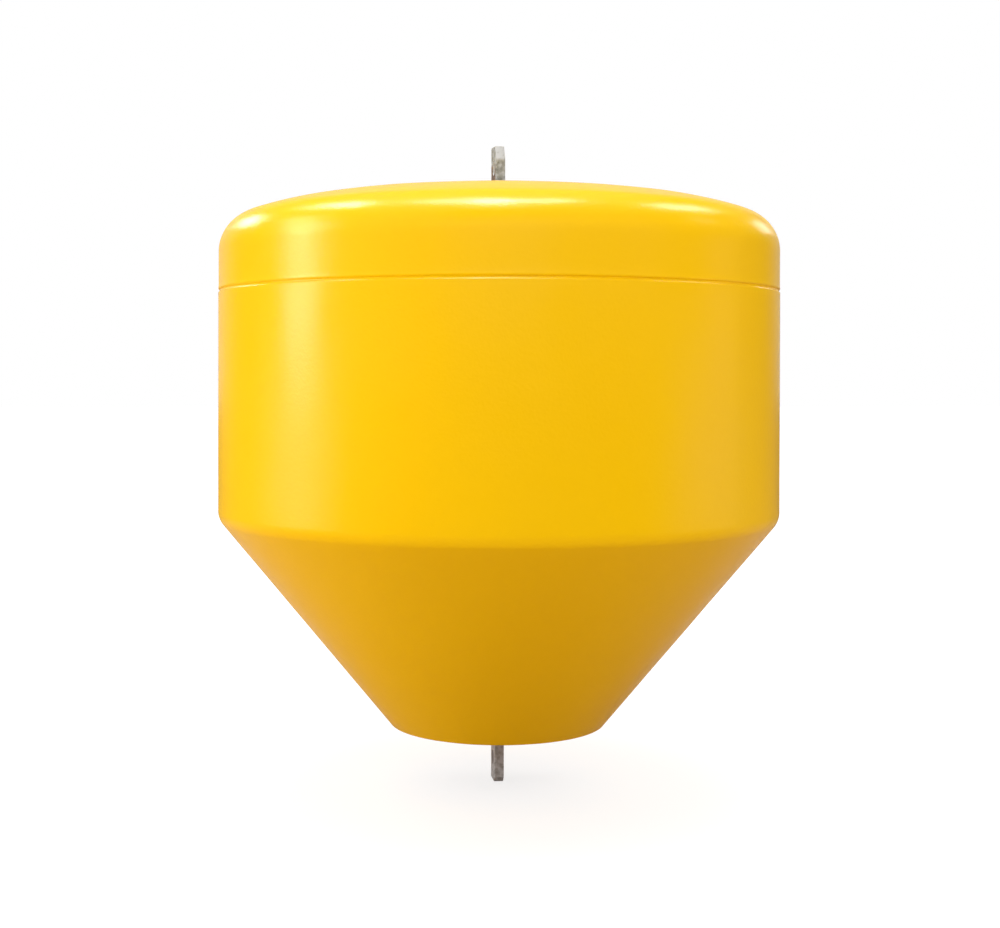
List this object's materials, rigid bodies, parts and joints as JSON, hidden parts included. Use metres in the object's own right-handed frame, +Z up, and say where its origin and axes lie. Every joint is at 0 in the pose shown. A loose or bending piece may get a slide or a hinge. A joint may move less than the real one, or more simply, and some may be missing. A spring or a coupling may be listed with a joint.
{
  "type": "mooring buoy",
  "caption": "Foam-filled mooring buoy: dished top, straight wall, conical bottom, and a galvanised flat bar through it with a shackle eye above and below.",
  "frame": {"origin": "on the buoy's axis at its service waterline, 75 mm above the top of the cone", "axes": "+Z up along the axis, +X along the shackle eyes through the bar's thickness, +Y along the bar's width to the back, where the filler plug is; the front faces -Y"},
  "size_m": [0.9, 0.9, 1.0303],
  "materials": {
    "float_skin": "satin moulded polyethylene",
    "galvanised_steel": "weathered hot-dip zinc with rust stains",
    "plug_plastic": "matt moulded plastic"
  },
  "bodies": {
    "root": {"crown": "float_skin", "hull": "float_skin", "through_bar": "galvanised_steel", "top_plate": "galvanised_steel", "bottom_plate": "galvanised_steel", "retaining_pin": "galvanised_steel", "filler_plug": "plug_plastic"}
  },
  "joints": []
}
